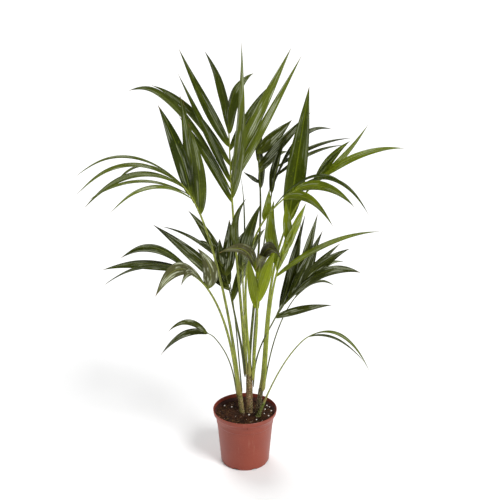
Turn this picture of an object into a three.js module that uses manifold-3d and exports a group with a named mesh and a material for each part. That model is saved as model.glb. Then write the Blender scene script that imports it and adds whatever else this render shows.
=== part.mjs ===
// Potted young kentia palm: four seedlings in one round nursery pot.
// Millimetres, +Z up. The pot stands on z = 0 with its axis on the Z axis.
// Every place of the plant is measured from the middle of the soil surface.
import * as THREE from 'three';
import Module from 'manifold-3d';
import { LoftGeometry } from 'three/addons/geometries/LoftGeometry.js';
import { mergeVertices } from 'three/addons/utils/BufferGeometryUtils.js';

// ---- Driving dimensions ----------------------------------------------------

const clearance = 0.3;

const potHeight = 171;
const potRimRadius = 95;
const potFootRadius = 72.5;
const potWall = 1.8;
const potFloor = 2.5;
const rimBandHeight = 12;
const rimBandTaper = 1.5;
const collarDepth = 41;
const collarInset = 10.5;
const collarStep = 1.5;
const collarLowBend = [0.12, 0.4];
const collarHighBend = [0.5, 0.8];
const footBevel = 2.5;
const footBevelHeight = 5;
const lipRounding = 1;
const drainCount = 8;
const drainWidth = 15;
const drainHeight = 5;
const drainReach = 6;
const potSegments = 40;

const soilHeadspace = 17;
const soilMound = 3;
const soilRings = [0.75, 0.5, 0.25, 0];

const plantingDepth = 30;
const stemSides = 12;
const scarSpacing = 18;
const scarDepth = 0.5;
const scarHalfWidth = 2;

const bladeThickness = 1.6;
const bladeFold = 0.12;
const bladeTip = 1;
const bladeSwell = 0.7;
const bladeFootShare = 0.22;
const bladeSteps = 5;
const stalkSides = 6;
const petioleSteps = 7;
const rachisSteps = 3;
const petioleDepthRatio = 0.85;

// A leaflet that would touch another frond swings aside by this much at a time.
const swingStep = 8;
const mostSwings = 12;

const grainRadius = 2.2;

// ---- The seedlings and their fronds ----------------------------------------

// Each stem runs from the soil surface to its crown, where the fronds start.
const STEMS = {
  left: { from: [-9, 6, 0], to: [-16, 6, 71], radius: [7.5, 6.5], look: 'paleStem' },
  centre: { from: [13, 8, 0], to: [13, 8, 133], radius: [10, 9.5], look: 'tanStem' },
  right: { from: [38, 2, 0], to: [48, 2, 85], radius: [8.5, 7], look: 'darkStem' },
  front: { from: [39, -17, 0], to: [57, -22, 50], radius: [6.8, 4.2], look: 'greenStem' },
};

// A leaflet leaves its rachis at a share of its length and ends at its tip. Its
// bow is how far the aim of its curve stands off the middle of the straight line,
// and its turn rolls the blade about its midrib, in degrees.
const leaf = (along, tip, bow, width, turn = 0) => ({ along, tip, bow, width, turn });

// Each frond: the stem it grows on, its foot as [direction round the stem in
// degrees, height on the stem] or 'top', the node where the first leaflets sit,
// the end of the rachis, and the petiole's radius at its foot, node and end.
const FRONDS = [
  {
    name: 'centre_frond_tall', stem: 'centre', foot: [146, 120],
    node: [-35, 80, 625], end: [-45, 120, 850], radius: [5.2, 3, 1.6], look: 'deepGreen',
    leaflets: [
      leaf(0.03, [-180, 60, 885], [0, 0, 20], 22),
      leaf(0.15, [-324, 150, 944], [-20, 0, 190], 19),
      leaf(0.27, [-183, 110, 992], [0, 0, 0], 20),
      leaf(0.49, [-265, 190, 945], [0, 0, 80], 24),
      leaf(0.72, [-180, 130, 1056], [0, 0, -20], 28),
      leaf(0.92, [-112, 180, 1042], [20, 0, 30], 27),
      leaf(0.12, [-8, 90, 1076], [20, 0, 0], 28),
      leaf(0.08, [-2, 60, 925], [20, 0, 0], 24),
      leaf(0.25, [156, 120, 1038], [0, 0, 0], 24),
      leaf(0.43, [129, 160, 1054], [0, 0, 0], 32),
      leaf(0.67, [80, 200, 950], [0, 0, 30], 22),
      leaf(0.88, [25, 150, 985], [-30, 0, 60], 44),
    ],
  },
  {
    name: 'left_frond_fountain', stem: 'left', foot: 'top',
    node: [-120, -20, 625], end: [-170, -50, 725], radius: [5, 3, 1.6], look: 'deepGreen',
    leaflets: [
      leaf(0.96, [-452, -40, 742], [0, 0, 130], 14, 20),
      leaf(0.88, [-443, -90, 710], [0, 0, 138], 15, 30),
      leaf(0.8, [-418, -130, 680], [0, 0, 130], 16, 30),
      leaf(0.6, [-424, -20, 670], [0, 0, 92], 12),
      leaf(0.45, [-346, -160, 680], [0, 0, 102], 11),
      leaf(0.93, [-362, 20, 692], [-20, 0, 118], 12),
      leaf(0.6, [-224, -60, 938], [16, 0, 12], 40),
      leaf(0.35, [-170, -10, 955], [10, 0, 0], 38),
      leaf(0.2, [-165, 40, 930], [10, 0, 0], 36),
      leaf(0.04, [-145, -80, 895], [22, 0, 0], 34),
    ],
  },
  {
    name: 'left_frond_low', stem: 'left', foot: [250, 62],
    node: [-100, -80, 430], end: [-170, -125, 505], radius: [4.6, 3, 1.6], look: 'oliveGreen',
    leaflets: [
      leaf(0.95, [-375, -150, 515], [0, 0, 35], 30, 50),
      leaf(0.6, [-335, -90, 530], [0, 0, 100], 28, -20),
      leaf(0.8, [-370, -190, 485], [0, 0, 75], 22, 40),
      leaf(0.2, [-230, -230, 475], [0, 0, 120], 36, -70),
      leaf(0.5, [-165, -200, 490], [0, 0, 50], 20, -50),
      leaf(0.04, [-125, -120, 565], [40, 0, 0], 40),
    ],
  },
  {
    name: 'centre_frond_left', stem: 'centre', foot: [192, 118],
    node: [-33, 28, 328], end: [-65, 60, 460], radius: [4.2, 2.8, 1.5], look: 'darkGreen',
    leaflets: [
      leaf(0.4, [-264, 90, 562], [0, 0, 20], 35),
      leaf(0.9, [-160, 60, 614], [10, 0, 20], 28, -35),
      leaf(0.5, [-71, 60, 530], [-20, 0, 0], 47),
      leaf(0.7, [-45, 100, 575], [10, 0, 0], 38),
      leaf(0.3, [-120, 200, 500], [0, 0, 60], 30),
      leaf(0.15, [60, 180, 520], [0, 0, 60], 30),
    ],
  },
  {
    name: 'left_frond_thin', stem: 'left', foot: [45, 62],
    node: [-36, 80, 332], end: [-56, 130, 428], radius: [2.2, 1.8, 1.2], look: 'darkGreen',
    leaflets: [
      leaf(0.95, [-250, 170, 530], [0, 0, 44], 12),
      leaf(0.7, [-150, 240, 460], [0, 0, 60], 14),
      leaf(0.8, [20, 240, 500], [0, 0, 60], 14),
    ],
  },
  {
    name: 'centre_frond_lime', stem: 'centre', foot: [322, 110],
    node: [35, -110, 375], end: [32, -145, 515], radius: [5, 3, 1.6], look: 'limeGreen',
    leaflets: [
      leaf(0.94, [-64, -220, 588], [35, 0, 70], 34),
      leaf(0.9, [98, -250, 572], [0, 20, 105], 34, -30),
      leaf(0.8, [30, -260, 560], [30, 20, 95], 28),
      leaf(0.25, [80, -200, 592], [0, 0, 20], 32),
      leaf(0.08, [12, -175, 560], [-6, 0, 10], 26),
    ],
  },
  {
    name: 'right_frond_bright', stem: 'right', foot: [300, 78],
    node: [85, -60, 455], end: [125, -90, 580], radius: [5, 3, 1.6], look: 'brightGreen',
    leaflets: [
      leaf(0.04, [358, -120, 612], [0, 0, 60], 17),
      leaf(0.6, [165, -70, 675], [0, 0, 0], 34, -40),
      leaf(0.9, [110, -100, 690], [0, 0, 0], 26),
      leaf(0.3, [80, -60, 680], [-30, 0, 0], 34),
      leaf(0.2, [140, -110, 640], [-10, 0, 0], 38),
    ],
  },
  {
    name: 'centre_frond_glossy', stem: 'centre', foot: [0, 82],
    node: [85, -10, 310], end: [150, -20, 405], radius: [2.4, 2.4, 1.5], look: 'darkGreen',
    leaflets: [
      leaf(0.05, [245, -60, 375], [0, 0, 15], 22),
      leaf(0.5, [314, -100, 488], [0, 0, 90], 28, 45),
      leaf(0.8, [290, -40, 535], [0, 0, 40], 32),
      leaf(0.6, [270, 20, 530], [0, 0, 20], 30, 30),
      leaf(0.7, [212, -60, 594], [0, 0, 0], 33),
      leaf(0.96, [205, 40, 610], [0, 0, 0], 28),
      leaf(0.3, [172, 60, 604], [0, 0, 0], 28),
      leaf(0.1, [155, 0, 595], [36, 0, -24], 30),
    ],
  },
  {
    name: 'right_frond_thin', stem: 'right', foot: [20, 70],
    node: [110, 40, 290], end: [175, 60, 385], radius: [2.2, 1.8, 1.2], look: 'darkGreen',
    leaflets: [
      leaf(0.9, [295, 120, 435], [0, 0, 60], 22),
      leaf(0.6, [265, 110, 365], [0, 0, 60], 22),
      leaf(0.95, [215, 110, 510], [0, 0, 0], 22),
      leaf(0.7, [150, 170, 470], [0, 0, 40], 22),
    ],
  },
  {
    name: 'centre_frond_dark', stem: 'centre', foot: 'top',
    node: [45, 100, 620], end: [35, 150, 765], radius: [4.6, 2.8, 1.5], look: 'darkGreen',
    leaflets: [
      leaf(0.95, [135, 170, 850], [0, 0, 0], 36),
      leaf(0.7, [185, 130, 880], [0, 0, 0], 26),
      leaf(0.6, [125, 200, 750], [0, 0, 30], 22),
      leaf(0.4, [-5, 160, 700], [0, 0, 0], 12),
      leaf(0.3, [35, 190, 800], [20, 0, 0], 26),
      leaf(0.8, [45, 220, 860], [0, 0, 20], 22),
    ],
  },
  {
    name: 'right_frond_tall', stem: 'right', foot: 'top',
    node: [120, 30, 585], end: [215, 50, 715], radius: [5, 3, 1.6], look: 'brightGreen',
    leaflets: [
      leaf(0.05, [175, 60, 965], [0, 0, 0], 55),
      leaf(0.9, [344, 110, 848], [0, 0, -30], 22, -20),
      leaf(0.96, [434, 20, 803], [0, 0, 54], 21, 50),
      leaf(0.6, [272, -30, 824], [-10, 0, 20], 15, 45),
      leaf(0.85, [292, 70, 812], [-10, 0, 20], 24),
    ],
  },
  {
    name: 'centre_frond_arching', stem: 'centre', foot: [276, 126],
    node: [25, -45, 560], end: [145, -110, 730], radius: [4.2, 3, 1.6], look: 'brightGreen',
    leaflets: [
      leaf(0.75, [230, -160, 640], [0, 0, 75], 24),
      leaf(0.93, [288, -130, 682], [0, 0, 66], 26, -60),
      leaf(0.88, [332, -80, 646], [10, 0, 132], 14, -50),
      leaf(0.5, [290, -40, 702], [0, 0, 134], 14, -40),
      leaf(0.35, [65, -140, 735], [0, 0, 0], 26),
    ],
  },
  {
    name: 'centre_frond_slim', stem: 'centre', foot: [234, 126],
    node: [-5, -60, 460], end: [-5, -90, 535], radius: [3, 2.4, 1.5], look: 'oliveGreen',
    leaflets: [
      leaf(0.95, [5, -110, 700], [-50, 0, 0], 28),
      leaf(0.3, [45, -118, 690], [-20, 0, 0], 38, -40),
      leaf(0.6, [15, -162, 540], [0, 0, 50], 30),
      leaf(0.8, [-10, -60, 750], [15, 0, 0], 12),
    ],
  },
  {
    name: 'left_frond_small', stem: 'left', foot: [185, 45],
    node: [-85, -60, 275], end: [-110, -70, 295], radius: [2.2, 1.7, 1.3], look: 'darkGreen',
    leaflets: [
      leaf(0.9, [-212, -100, 312], [0, 0, 62], 17),
      leaf(0.8, [-238, -60, 222], [0, 0, 62], 20, 70),
    ],
  },
  {
    name: 'front_frond_small', stem: 'front', foot: 'top',
    node: [160, -72, 268], end: [196, -79, 296], radius: [2.4, 2, 1.4], look: 'deepGreen',
    leaflets: [
      leaf(0.6, [334, -110, 224], [0, 0, 62], 20, 60),
      leaf(0.9, [356, -70, 174], [10, 0, 98], 13, 60),
    ],
  },
  {
    name: 'centre_frond_narrow', stem: 'centre', foot: [40, 112],
    node: [75, 60, 660], end: [100, 80, 770], radius: [2.4, 2, 1.2], look: 'darkGreen',
    leaflets: [
      leaf(0.05, [120, 110, 820], [-20, 0, 0], 30),
      leaf(0.2, [245, 100, 840], [-20, 0, 110], 14),
      leaf(0.7, [300, 100, 813], [0, 0, 36], 11),
      leaf(0.45, [284, 120, 788], [0, 0, 42], 11),
    ],
  },
];

// White grains lying on the soil, as [x, y, size].
const GRAINS = [
  [-62, 45, 1],
  [-40, 34, 1.1],
  [66, 46, 1],
  [74, 38, 0.9],
  [79, 14, 1.1],
  [54, 38, 1.3],
  [60, 22, 0.9],
  [12, -14, 1.1],
  [58, -4, 0.8],
  [70, -16, 1],
  [34, -40, 0.9],
  [50, -52, 0.8],
];

// ---- Shapes ----------------------------------------------------------------

const wasm = await Module();
wasm.setup();

const point = ([x, y, z]) => new THREE.Vector3(x, y, z);
const mix = (a, b, t) => a + (b - a) * t;
const compass = (degrees) => new THREE.Vector3(
  Math.cos(THREE.MathUtils.degToRad(degrees)),
  Math.sin(THREE.MathUtils.degToRad(degrees)),
  0,
);

const soilTop = potHeight - soilHeadspace;
const aboveSoil = (place) => point(place).add(new THREE.Vector3(0, 0, soilTop));

// A closed geometry as a solid, with its seams joined and its faces turned out.
function solidOf(geometry) {
  const bare = new THREE.BufferGeometry();
  bare.setAttribute('position', geometry.getAttribute('position'));
  bare.setIndex(geometry.index);
  const merged = mergeVertices(bare, 1e-3);
  const corners = Array.from(merged.index.array);
  const faces = [];
  for (let i = 0; i < corners.length; i += 3) {
    const [a, b, c] = corners.slice(i, i + 3);
    if (a !== b && b !== c && c !== a) faces.push(a, b, c);
  }
  const build = (list) => new wasm.Manifold(new wasm.Mesh({
    numProp: 3,
    vertProperties: merged.attributes.position.array,
    triVerts: new Uint32Array(list),
  }));
  const made = build(faces);
  return made.volume() > 0 ? made : build(faces.reverse());
}

function meshOf(name, solid, material) {
  const cut = solid.getMesh();
  const geometry = new THREE.BufferGeometry();
  geometry.setAttribute('position', new THREE.BufferAttribute(cut.vertProperties, 3));
  geometry.setIndex(new THREE.BufferAttribute(cut.triVerts, 1));
  geometry.computeVertexNormals();
  const mesh = new THREE.Mesh(geometry, material);
  mesh.name = name;
  return mesh;
}

const overlap = (a, b) => a.intersect(b).volume() > 1e-4;

// A solid without the sealed pockets that crossing blades leave between them.
const fillPockets = (solid) => solid
  .decompose()
  .filter((body) => body.volume() > 0)
  .reduce((whole, body) => whole.add(body));

// The largest separate body of a solid.
const mainBody = (solid) => solid.decompose().sort((a, b) => b.volume() - a.volume())[0];

// ---- Materials -------------------------------------------------------------

const plastic = (color) => new THREE.MeshStandardMaterial({ color, roughness: 0.45, metalness: 0 });
const foliage = (color) => new THREE.MeshStandardMaterial({ color, roughness: 0.4, metalness: 0 });
const matt = (color) => new THREE.MeshStandardMaterial({ color, roughness: 0.9, metalness: 0 });

const LOOKS = {
  pot: () => plastic(0x965242),
  soil: () => matt(0x2e1c16),
  grain: () => matt(0xe9e2da),
  paleStem: () => matt(0x9a8a4e),
  tanStem: () => matt(0x8a6a48),
  darkStem: () => matt(0x5e4a34),
  greenStem: () => foliage(0x7c9a2e),
  deepGreen: () => foliage(0x35521f),
  darkGreen: () => foliage(0x26381f),
  oliveGreen: () => foliage(0x4a5a30),
  limeGreen: () => foliage(0x8aa53a),
  brightGreen: () => foliage(0x5f8428),
};

// ---- Pot and soil ----------------------------------------------------------

// The pot's outer outline from the foot to the rim, as [radius, height]. The
// collar bends at two shares of the way across and up to the rim band.
const collarFoot = potHeight - collarDepth;
const bandFoot = potHeight - rimBandHeight;
const collarRadius = potRimRadius - collarInset;
const bandRadius = potRimRadius - rimBandTaper;
const collarPoint = ([across, up]) => [
  mix(collarRadius, bandRadius, across),
  mix(collarFoot, bandFoot, up),
];
const outline = [
  [potFootRadius - footBevel, 0],
  [potFootRadius, footBevelHeight],
  [collarRadius - collarStep, collarFoot - collarStep],
  [collarRadius, collarFoot],
  collarPoint(collarLowBend),
  collarPoint(collarHighBend),
  [bandRadius, bandFoot],
  [potRimRadius, potHeight - lipRounding],
  [potRimRadius - lipRounding, potHeight],
];

// The outer radius of the pot at a height.
function outerRadius(z) {
  const next = Math.max(1, outline.findIndex(([, height]) => height >= z));
  const [lowRadius, low] = outline[next - 1];
  const [highRadius, high] = outline[next];
  return mix(lowRadius, highRadius, (z - low) / (high - low));
}

// A solid turned round the Z axis from [radius, height] points.
function turned(profile) {
  const points = profile.map(([r, z]) => new THREE.Vector2(r, z));
  return solidOf(new THREE.LatheGeometry(points, potSegments).rotateX(Math.PI / 2));
}

function makePot() {
  const inside = outline.slice(2, -2).reverse().map(([r, z]) => [r - potWall, z]);
  const mouth = [potRimRadius - potWall, potHeight];
  const floorEdge = [outerRadius(footBevelHeight) - potWall, potFloor];
  let pot = turned([[0, 0], ...outline, mouth, ...inside, floorEdge, [0, potFloor]]);
  for (let i = 0; i < drainCount; i += 1) {
    const turn = (360 / drainCount) * (i + 0.5);
    const notch = new THREE.BoxGeometry(2 * drainReach, drainWidth, 2 * drainHeight);
    const at = compass(turn).multiplyScalar(potFootRadius);
    notch.rotateZ(THREE.MathUtils.degToRad(turn)).translate(at.x, at.y, 0);
    pot = pot.subtract(solidOf(notch));
  }
  return pot;
}

// The soil's radius at a height, clear of the pot's inner wall.
const soilRadius = (z) => outerRadius(z) - potWall - clearance;

// The height of the soil surface at a distance from the middle.
const soilHeight = (r) => soilTop - soilMound * (r / soilRadius(soilTop)) ** 2;

function makeSoil(stems) {
  const base = potFloor + clearance;
  const edge = soilTop - soilMound;
  const shelves = outline.map(([, z]) => z).filter((z) => z > footBevelHeight && z < edge);
  const profile = [[0, base], [outerRadius(footBevelHeight) - potWall - clearance, base]];
  for (const z of [...shelves, edge]) profile.push([soilRadius(z), z]);
  for (const share of soilRings) {
    const r = soilRadius(soilTop) * share;
    profile.push([r, soilHeight(r)]);
  }
  let soil = turned(profile);
  for (const stem of stems) soil = soil.subtract(stem);
  return soil;
}

function makeGrain([x, y, size]) {
  const radius = grainRadius * size;
  const grain = new THREE.IcosahedronGeometry(radius, 0);
  const lift = soilHeight(Math.hypot(x, y)) + clearance + radius;
  grain.rotateZ(x).rotateX(y).translate(x, y, lift);
  return solidOf(grain);
}

// ---- Stems -----------------------------------------------------------------

// A stem's axis at a height above the soil, with the radius there.
function stemAt(stem, height) {
  const share = height / (stem.to[2] - stem.from[2]);
  const centre = aboveSoil(stem.from).lerp(aboveSoil(stem.to), share);
  return { centre, radius: mix(stem.radius[0], stem.radius[1], Math.max(share, 0)) };
}

// A trunk with ring scars, swollen by a margin where a cutter is wanted.
function makeStem(stem, margin) {
  const rings = [];
  const top = stem.to[2];
  const addRing = (height, inset) => {
    const { centre, radius } = stemAt(stem, height);
    const ring = [];
    for (let i = 0; i < stemSides; i += 1) {
      const spoke = compass((360 / stemSides) * i).multiplyScalar(radius + margin - inset);
      ring.push(centre.clone().add(spoke));
    }
    rings.push(ring);
  };
  addRing(-plantingDepth - margin, 0);
  for (let height = 0; height < top - scarSpacing / 2; height += scarSpacing) {
    addRing(height - scarHalfWidth, 0);
    addRing(height, scarDepth);
    addRing(height + scarHalfWidth, 0);
  }
  addRing(top + margin, 0);
  return solidOf(new LoftGeometry(rings, { closed: true, capStart: true, capEnd: true }));
}

// ---- Fronds ----------------------------------------------------------------

function footOf(frond) {
  const stem = STEMS[frond.stem];
  const axis = point(stem.to).sub(point(stem.from)).normalize();
  if (frond.foot === 'top') {
    const start = stemAt(stem, stem.to[2] + clearance).centre;
    return { start, axis, hug: 0 };
  }
  const [direction, height] = frond.foot;
  const { centre, radius } = stemAt(stem, height);
  const reach = radius + 2 * clearance + frond.radius[0];
  return { start: centre.add(compass(direction).multiplyScalar(reach)), axis, hug: stem.to[2] - height };
}

// The petiole's curve from the foot to the node, and the rachis beyond it.
function curvesOf(frond) {
  const { start, axis, hug } = footOf(frond);
  const node = aboveSoil(frond.node);
  const end = aboveSoil(frond.end);
  const petioleLength = start.distanceTo(node);
  const rachisLength = node.distanceTo(end);
  const up = node.clone().sub(start).normalize();
  const out = end.clone().sub(node).normalize();
  const heading = up.add(out).normalize();
  const lower = start.clone().addScaledVector(axis, hug + petioleLength / 4);
  const upper = node.clone().addScaledVector(heading, -petioleLength / 3);
  const bend = node.clone().addScaledVector(heading, rachisLength / 2);
  return {
    petiole: new THREE.CubicBezierCurve3(start, lower, upper, node),
    rachis: new THREE.QuadraticBezierCurve3(node, bend, end),
  };
}

// A six-sided stalk along the petiole and the rachis, swollen by a margin.
function makeStalk(frond, margin) {
  const { petiole, rachis } = curvesOf(frond);
  const [footRadius, nodeRadius, endRadius] = frond.radius;
  const stations = [];
  for (let i = 0; i <= petioleSteps; i += 1) {
    const t = i / petioleSteps;
    stations.push([petiole.getPoint(t), petiole.getTangent(t), mix(footRadius, nodeRadius, t)]);
  }
  for (let i = 1; i <= rachisSteps; i += 1) {
    const t = i / rachisSteps;
    stations.push([rachis.getPoint(t), rachis.getTangent(t), mix(nodeRadius, endRadius, t)]);
  }
  const side = new THREE.Vector3(1, 0, 0);
  const rings = stations.map(([centre, tangent, radius]) => {
    side.addScaledVector(tangent, -side.dot(tangent)).normalize();
    const front = tangent.clone().cross(side);
    const ring = [];
    for (let k = 0; k < stalkSides; k += 1) {
      const angle = (2 * Math.PI * k) / stalkSides;
      const across = Math.cos(angle) * (radius + margin);
      const through = Math.sin(angle) * (radius * petioleDepthRatio + margin);
      ring.push(centre.clone().addScaledVector(side, across).addScaledVector(front, through));
    }
    return ring;
  });
  return solidOf(new LoftGeometry(rings, { closed: true, capStart: true, capEnd: true }));
}

// The share of a blade's full width at a share of its length.
const bladeOutline = (s) => Math.sin(Math.PI * s ** bladeSwell) + bladeFootShare * (1 - s) ** 4;

// A tapering leaflet, folded along its midrib, from the rachis to its tip.
function makeBlade(frond, leaflet, shift, margin) {
  const { rachis } = curvesOf(frond);
  const root = rachis.getPoint(leaflet.along);
  const tip = aboveSoil(leaflet.tip).add(shift);
  const aim = root.clone().lerp(tip, 0.5).add(point(leaflet.bow));
  const midrib = new THREE.QuadraticBezierCurve3(root, aim, tip);
  const across = rachis.getTangent(leaflet.along);
  across.applyAxisAngle(midrib.getTangent(0), THREE.MathUtils.degToRad(leaflet.turn));
  const rings = [];
  for (let i = 0; i <= bladeSteps; i += 1) {
    const s = i / bladeSteps;
    const heading = midrib.getTangent(s);
    across.addScaledVector(heading, -across.dot(heading)).normalize();
    const face = heading.clone().cross(across);
    const half = Math.max(leaflet.width * bladeOutline(s), bladeTip) / 2 + margin;
    const fold = bladeFold * leaflet.width * bladeOutline(s);
    const thick = Math.min(bladeThickness / 2, half / 2) + margin;
    const centre = midrib.getPoint(s);
    rings.push([
      centre.clone().addScaledVector(across, half),
      centre.clone().addScaledVector(face, fold + thick),
      centre.clone().addScaledVector(across, -half),
      centre.clone().addScaledVector(face, fold - thick),
    ]);
  }
  return solidOf(new LoftGeometry(rings, { closed: true, capStart: true, capEnd: true }));
}

// A leaflet that would touch another piece is swung aside until it is clear.
function settleBlade(frond, leaflet, others) {
  for (let i = 0; i <= 2 * mostSwings; i += 1) {
    const step = Math.ceil(i / 2) * (i % 2 ? 1 : -1) * swingStep;
    const shift = new THREE.Vector3(0, step, 0);
    const guard = makeBlade(frond, leaflet, shift, clearance);
    if (!others.some((other) => overlap(guard, other))) return makeBlade(frond, leaflet, shift, 0);
  }
  return makeBlade(frond, leaflet, new THREE.Vector3(), 0);
}

// ---- Assembly --------------------------------------------------------------

const palm = new THREE.Group();
palm.name = 'potted_kentia_palm';

const stemNames = Object.keys(STEMS);
const stems = stemNames.map((name) => makeStem(STEMS[name], 0));
const stemGuards = stemNames.map((name) => makeStem(STEMS[name], clearance));

palm.add(meshOf('grow_pot', makePot(), LOOKS.pot()));
palm.add(meshOf('potting_soil', makeSoil(stemGuards), LOOKS.soil()));
stemNames.forEach((name, i) => palm.add(meshOf(name + '_stem', stems[i], LOOKS[STEMS[name].look]())));

const placed = [];
for (const frond of FRONDS) {
  let stalk = makeStalk(frond, 0);
  for (const guard of [...stemGuards, ...placed.map((other) => other.guard)]) {
    if (overlap(stalk, guard)) stalk = mainBody(stalk.subtract(guard));
  }
  placed.push({ frond, stalk, guard: makeStalk(frond, clearance), body: stalk });
}

for (const item of placed) {
  const others = [...stems, ...placed.filter((other) => other !== item).map((other) => other.body)];
  for (const leaflet of item.frond.leaflets) {
    item.body = item.body.add(settleBlade(item.frond, leaflet, others));
  }
  palm.add(meshOf(item.frond.name, fillPockets(item.body), LOOKS[item.frond.look]()));
}

GRAINS.forEach((grain, i) => palm.add(meshOf('soil_grain_' + (i + 1), makeGrain(grain), LOOKS.grain())));

export default palm;
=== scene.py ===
"""A potted kentia palm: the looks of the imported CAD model, in its frame.

Lengths are in millimetres until a mesh is made. A place on the plant is measured from the middle of the
soil's surface, and a place on the pot from the middle of its underside.
"""
import itertools
import math
import random

import bmesh
import bpy
import numpy as np
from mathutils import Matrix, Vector, noise


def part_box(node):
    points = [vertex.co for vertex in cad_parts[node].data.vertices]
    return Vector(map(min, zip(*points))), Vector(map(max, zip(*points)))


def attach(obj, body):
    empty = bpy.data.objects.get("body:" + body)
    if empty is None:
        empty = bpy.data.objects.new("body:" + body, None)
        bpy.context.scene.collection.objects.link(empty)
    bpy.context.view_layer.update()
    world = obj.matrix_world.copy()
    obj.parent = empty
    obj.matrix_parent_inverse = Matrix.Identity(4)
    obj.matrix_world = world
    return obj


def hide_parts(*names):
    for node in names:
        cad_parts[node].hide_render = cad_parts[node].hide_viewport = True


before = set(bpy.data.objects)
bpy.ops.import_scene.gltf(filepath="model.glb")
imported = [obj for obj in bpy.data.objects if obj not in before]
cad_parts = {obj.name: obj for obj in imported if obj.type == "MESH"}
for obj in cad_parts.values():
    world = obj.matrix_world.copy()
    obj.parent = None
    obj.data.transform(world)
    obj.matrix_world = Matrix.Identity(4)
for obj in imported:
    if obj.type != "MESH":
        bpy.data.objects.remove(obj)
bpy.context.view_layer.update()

MM = 0.001
BODY = "root"

# ---- Camera ----

camera = bpy.data.objects.new("camera", bpy.data.cameras.new("camera"))
camera.data.lens = 68.33
camera.data.sensor_width = 36
camera.location = (0.015, -2.5, 1.57)
camera.rotation_euler = (math.radians(70.22), 0, 0)
bpy.context.scene.collection.objects.link(camera)
bpy.context.scene.camera = camera

# ---- Sizes ----

CLEARANCE = 0.3
POT_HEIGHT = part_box("grow_pot")[1][2] / MM
POT_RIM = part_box("grow_pot")[1][0] / MM
POT_FOOT = 72.5
POT_WALL = 1.8
POT_FLOOR = 2.5
POT_INNER_RING = 0.4
POT_CORNER = 0.9
BAND_HEIGHT = 12
BAND_TAPER = 1.5
COLLAR_DEPTH = 41
COLLAR_INSET = 10.5
COLLAR_STEP = 1.5
COLLAR_LOW_BEND = (0.12, 0.4)
COLLAR_HIGH_BEND = (0.5, 0.8)
FOOT_BEVEL = 2.5
FOOT_BEVEL_HEIGHT = 5
LIP = 1
DRAIN_COUNT = 8
DRAIN_WIDTH = 15
DRAIN_HEIGHT = 5
DRAIN_REACH = 6
POT_SIDES = 160

SOIL_HEADSPACE = 17
SOIL_TOP = POT_HEIGHT - SOIL_HEADSPACE
SOIL_MOUND = 3
SOIL_SIDES = 144
SOIL_RINGS = 46
SOIL_INNER_RING = 0.5
SOIL_FOOT = FOOT_BEVEL_HEIGHT + 6
SOIL_ROUGHNESS = ((1.5, 16, 3.1), (1.0, 6, 8.4), (0.5, 2.4, 1.7))  # height, width and seed of each noise
SOIL_EDGE = 6
SOIL_EDGE_DROP = 1.2
CRUMBS = 1500
CRUMB_SIZES = (0.7, 0.9, 1.1, 1.4, 1.9, 2.6)
PALE_CRUMB = 0.75
FIBRES = 46
FIBRE_STEPS = 7
FIBRE_STEP = 1.7
FIBRE_THICK = 0.28
FIBRE_SIDES = 5

STEM_SIDES = 36
STEM_STEP = 1.2
STEM_DEPTH = 8
FLARE = 1.2
FLARE_HEIGHT = 7
CROWN_HEIGHT = 4
CROWN_NARROWING = 0.35
SCAR_SPACING = 9
SCAR_HALF_WIDTH = 0.9
SCAR_TILT = 1.4
SCAR_WAVER = 0.8
SCAR_LIP = 0.55
SCAR_LIP_ABOVE = 2.2
SCAR_LIP_HALF_WIDTH = 1.4
BARK_ROUGHNESS = 0.35
SHEATHED_STEM = "centre"
DRY_SHEATH_FROM = -26
DRY_SHEATH_TO = 38
DRY_SHEATH_HALF = 62
DRY_SHEATH_TIP_HALF = 6
DRY_SHEATH_STEPS = 14
DRY_SHEATH_COLUMNS = 9

STALK_SIDES = 14
PETIOLE_STEPS = 40
RACHIS_STEPS = 16
STALK_FLATTEN = 0.85
SHEATH = 46
SHEATH_WIDER = 0.55
SHEATH_THINNER = 0.3
CHANNEL_DEPTH = 0.2
CHANNEL_HALF_ANGLE = 0.55

BLADE_STEPS = 32
BLADE_HALF = 6
BLADE_SWELL = 0.7
BLADE_SWELL_ARCHED = 1.1
BLADE_FOOT_SHARE = 0.22
BLADE_FOLD = 0.12
BLADE_TIP = 0.5
BLADE_THICK = 0.5
EDGE_THICK = 0.25
MIDRIB_THICK = 1.3
MIDRIB_SHARE = 0.14
ARCHED_BOW = 90
RIPPLE = 0.035
CURL = 0.05
PLEAT = 0.3
PLEAT_TURNS = 11.0
MOST_TWIST = 16

GRAIN_RADIUS = 2.2
WHOLE_TURN = 6.28
STRAIGHT = (0, 0, 0)

# ---- The plant ----

STEMS = {
    "left": {"from": (-9, 6, 0), "to": (-16, 6, 71), "radius": (7.5, 6.5), "look": "pale_stem"},
    "centre": {"from": (13, 8, 0), "to": (13, 8, 133), "radius": (10, 9.5), "look": "tan_stem"},
    "right": {"from": (38, 2, 0), "to": (48, 2, 85), "radius": (8.5, 7), "look": "dark_stem"},
    "front": {"from": (39, -17, 0), "to": (57, -22, 50), "radius": (6.8, 4.2), "look": "green_stem"},
}


def leaf(along, tip, bow, width, turn=0):
    """A leaflet: its share of the rachis, tip, bow of the midrib, width, and turn in degrees."""
    return {"along": along, "tip": tip, "bow": bow, "width": width, "turn": turn}


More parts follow.
